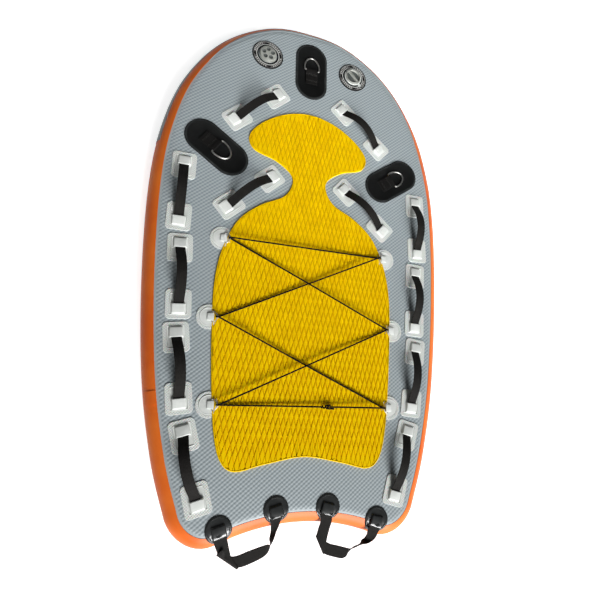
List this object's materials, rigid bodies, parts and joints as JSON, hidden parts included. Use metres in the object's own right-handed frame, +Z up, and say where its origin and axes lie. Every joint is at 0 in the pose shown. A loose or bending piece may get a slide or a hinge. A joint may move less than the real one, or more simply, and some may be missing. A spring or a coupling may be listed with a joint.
{
  "type": "watercraft rescue sled",
  "caption": "Inflatable rescue sled with a hollow stern, foam traction pad, webbing grab handles, tow rings, stern loops and a laced bungee.",
  "frame": {"origin": "under the middle of the sled, on the floor, half way between the stern loops and the nose", "axes": "+X to starboard, +Y to the nose, +Z up from the bottom to the deck"},
  "size_m": [1.0472, 1.8462, 0.1416],
  "materials": {
    "drop_stitch": "matte",
    "pvc_grey": "satin",
    "pvc_orange": "satin",
    "eva_yellow": "matte",
    "pvc_clear": "satin",
    "patch_black": "matte",
    "rubber_black": "gloss",
    "webbing": "matte",
    "steel": "polished",
    "elastic": "matte",
    "valve_plastic": "satin",
    "valve_collar": "satin"
  },
  "bodies": {
    "sled": {"drop_stitch_core": "drop_stitch", "deck_skin": "pvc_grey", "bottom_skin": "pvc_grey", "bow_guard": "pvc_grey", "rail_band": "pvc_orange", "traction_pad": "eva_yellow", "handle_left_1": "pvc_clear", "handle_left_2": "pvc_clear", "handle_left_3": "pvc_clear", "handle_left_4": "pvc_clear", "handle_head_left_1": "pvc_clear", "handle_head_left_2": "pvc_clear", "handle_right_1": "pvc_clear", "handle_right_2": "pvc_clear", "handle_right_3": "pvc_clear", "handle_right_4": "pvc_clear", "handle_head_right_1": "pvc_clear", "handle_head_right_2": "pvc_clear", "tow_patch_centre": "patch_black", "tow_tab_centre": "webbing", "tow_patch_left": "patch_black", "tow_tab_left": "webbing", "tow_patch_right": "patch_black", "tow_tab_right": "webbing", "stern_patch_left_outer": "rubber_black", "stern_patch_left_inner": "rubber_black", "stern_patch_right_inner": "rubber_black", "stern_patch_right_outer": "rubber_black", "bungee_patch_left_1": "pvc_clear", "bungee_ring_left_1": "steel", "bungee_patch_left_2": "pvc_clear", "bungee_ring_left_2": "steel", "bungee_patch_left_3": "pvc_clear", "bungee_ring_left_3": "steel", "bungee_patch_right_1": "pvc_clear", "bungee_ring_right_1": "steel", "bungee_patch_right_2": "pvc_clear", "bungee_ring_right_2": "steel", "bungee_patch_right_3": "pvc_clear", "bungee_ring_right_3": "steel", "bungee_cord": "elastic", "bungee_knot": "elastic", "inflation_collar": "valve_collar", "relief_collar": "valve_collar", "inflation_body": "valve_plastic", "relief_body": "valve_plastic", "relief_cap": "valve_plastic", "inflation_tether": "pvc_clear", "inflation_spring": "steel", "relief_spring": "steel"},
    "tow_ring_centre": {"tow_ring_centre": "steel"},
    "tow_ring_left": {"tow_ring_left": "steel"},
    "tow_ring_right": {"tow_ring_right": "steel"},
    "stern_loop_left": {"stern_loop_left": "webbing"},
    "stern_loop_right": {"stern_loop_right": "webbing"},
    "inflation_cap": {"inflation_cap": "valve_plastic"},
    "inflation_plunger": {"inflation_plunger": "valve_plastic"},
    "relief_poppet": {"relief_poppet": "rubber_black"}
  },
  "joints": [
    {"name": "tow_ring_centre_swing", "type": "hinge", "parent": "sled", "child": "tow_ring_centre", "pos_m": [0, 0.72961, 0.108], "axis": [1, 0, 0], "range_deg": [0, 170]},
    {"name": "tow_ring_left_swing", "type": "hinge", "parent": "sled", "child": "tow_ring_left", "pos_m": [-0.324, 0.34561, 0.108], "axis": [-0.5736, -0.8192, 0], "range_deg": [0, 170]},
    {"name": "tow_ring_right_swing", "type": "hinge", "parent": "sled", "child": "tow_ring_right", "pos_m": [0.324, 0.34561, 0.108], "axis": [0.5736, -0.8192, 0], "range_deg": [0, 170]},
    {"name": "stern_loop_left_lift", "type": "hinge", "parent": "sled", "child": "stern_loop_left", "pos_m": [-0.23751, -0.83366, 0.101], "axis": [-0.9652, -0.2614, 0], "range_deg": [0, 80]},
    {"name": "stern_loop_right_lift", "type": "hinge", "parent": "sled", "child": "stern_loop_right", "pos_m": [0.23751, -0.83366, 0.101], "axis": [-0.9652, 0.2614, 0], "range_deg": [0, 80]},
    {"name": "inflation_cap_turn", "type": "hinge", "parent": "sled", "child": "inflation_cap", "pos_m": [0.1675, 0.75281, 0.107], "axis": [0, 0, 1], "range_deg": [0, 90]},
    {"name": "inflation_plunger_press", "type": "slide", "parent": "sled", "child": "inflation_plunger", "axis": [0, 0, -1], "range_m": [0, 0.006], "stiffness_N_per_m": 300, "springref_m": -0.002, "deforming": ["inflation_spring"]},
    {"name": "relief_poppet_lift", "type": "slide", "parent": "sled", "child": "relief_poppet", "axis": [0, 0, 1], "range_m": [0, 0.004], "stiffness_N_per_m": 400, "springref_m": -0.003, "deforming": ["relief_spring"]}
  ]
}
